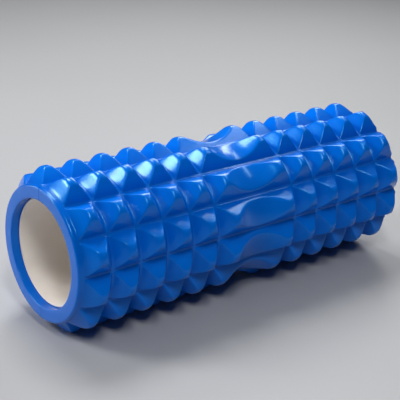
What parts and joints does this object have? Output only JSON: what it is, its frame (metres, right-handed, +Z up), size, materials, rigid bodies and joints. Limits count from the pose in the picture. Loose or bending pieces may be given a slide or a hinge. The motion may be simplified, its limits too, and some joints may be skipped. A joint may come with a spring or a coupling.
{
  "type": "foam roller",
  "caption": "Massage roller: studded foam sleeve in two half shells on a hollow plastic tube, open right through.",
  "frame": {"origin": "on the roller's axis, midway between its two ends", "axes": "+X along the roller's axis (the end shown nearest is at -X), +Z up, -Y towards the viewer; the two half shells meet on the plane Y = 0, so a seam is at the top and one at the bottom"},
  "size_m": [0.3244, 0.1222, 0.1214],
  "materials": {
    "foam": "satin closed-cell EVA foam skin",
    "tube": "satin, off-white",
    "glue": "dark contact adhesive"
  },
  "bodies": {
    "root": {"core_tube": "tube", "tube_glue": "glue", "foam_half_front": "foam", "foam_half_back": "foam", "seam_glue_top": "glue", "seam_glue_bottom": "glue"}
  },
  "joints": []
}
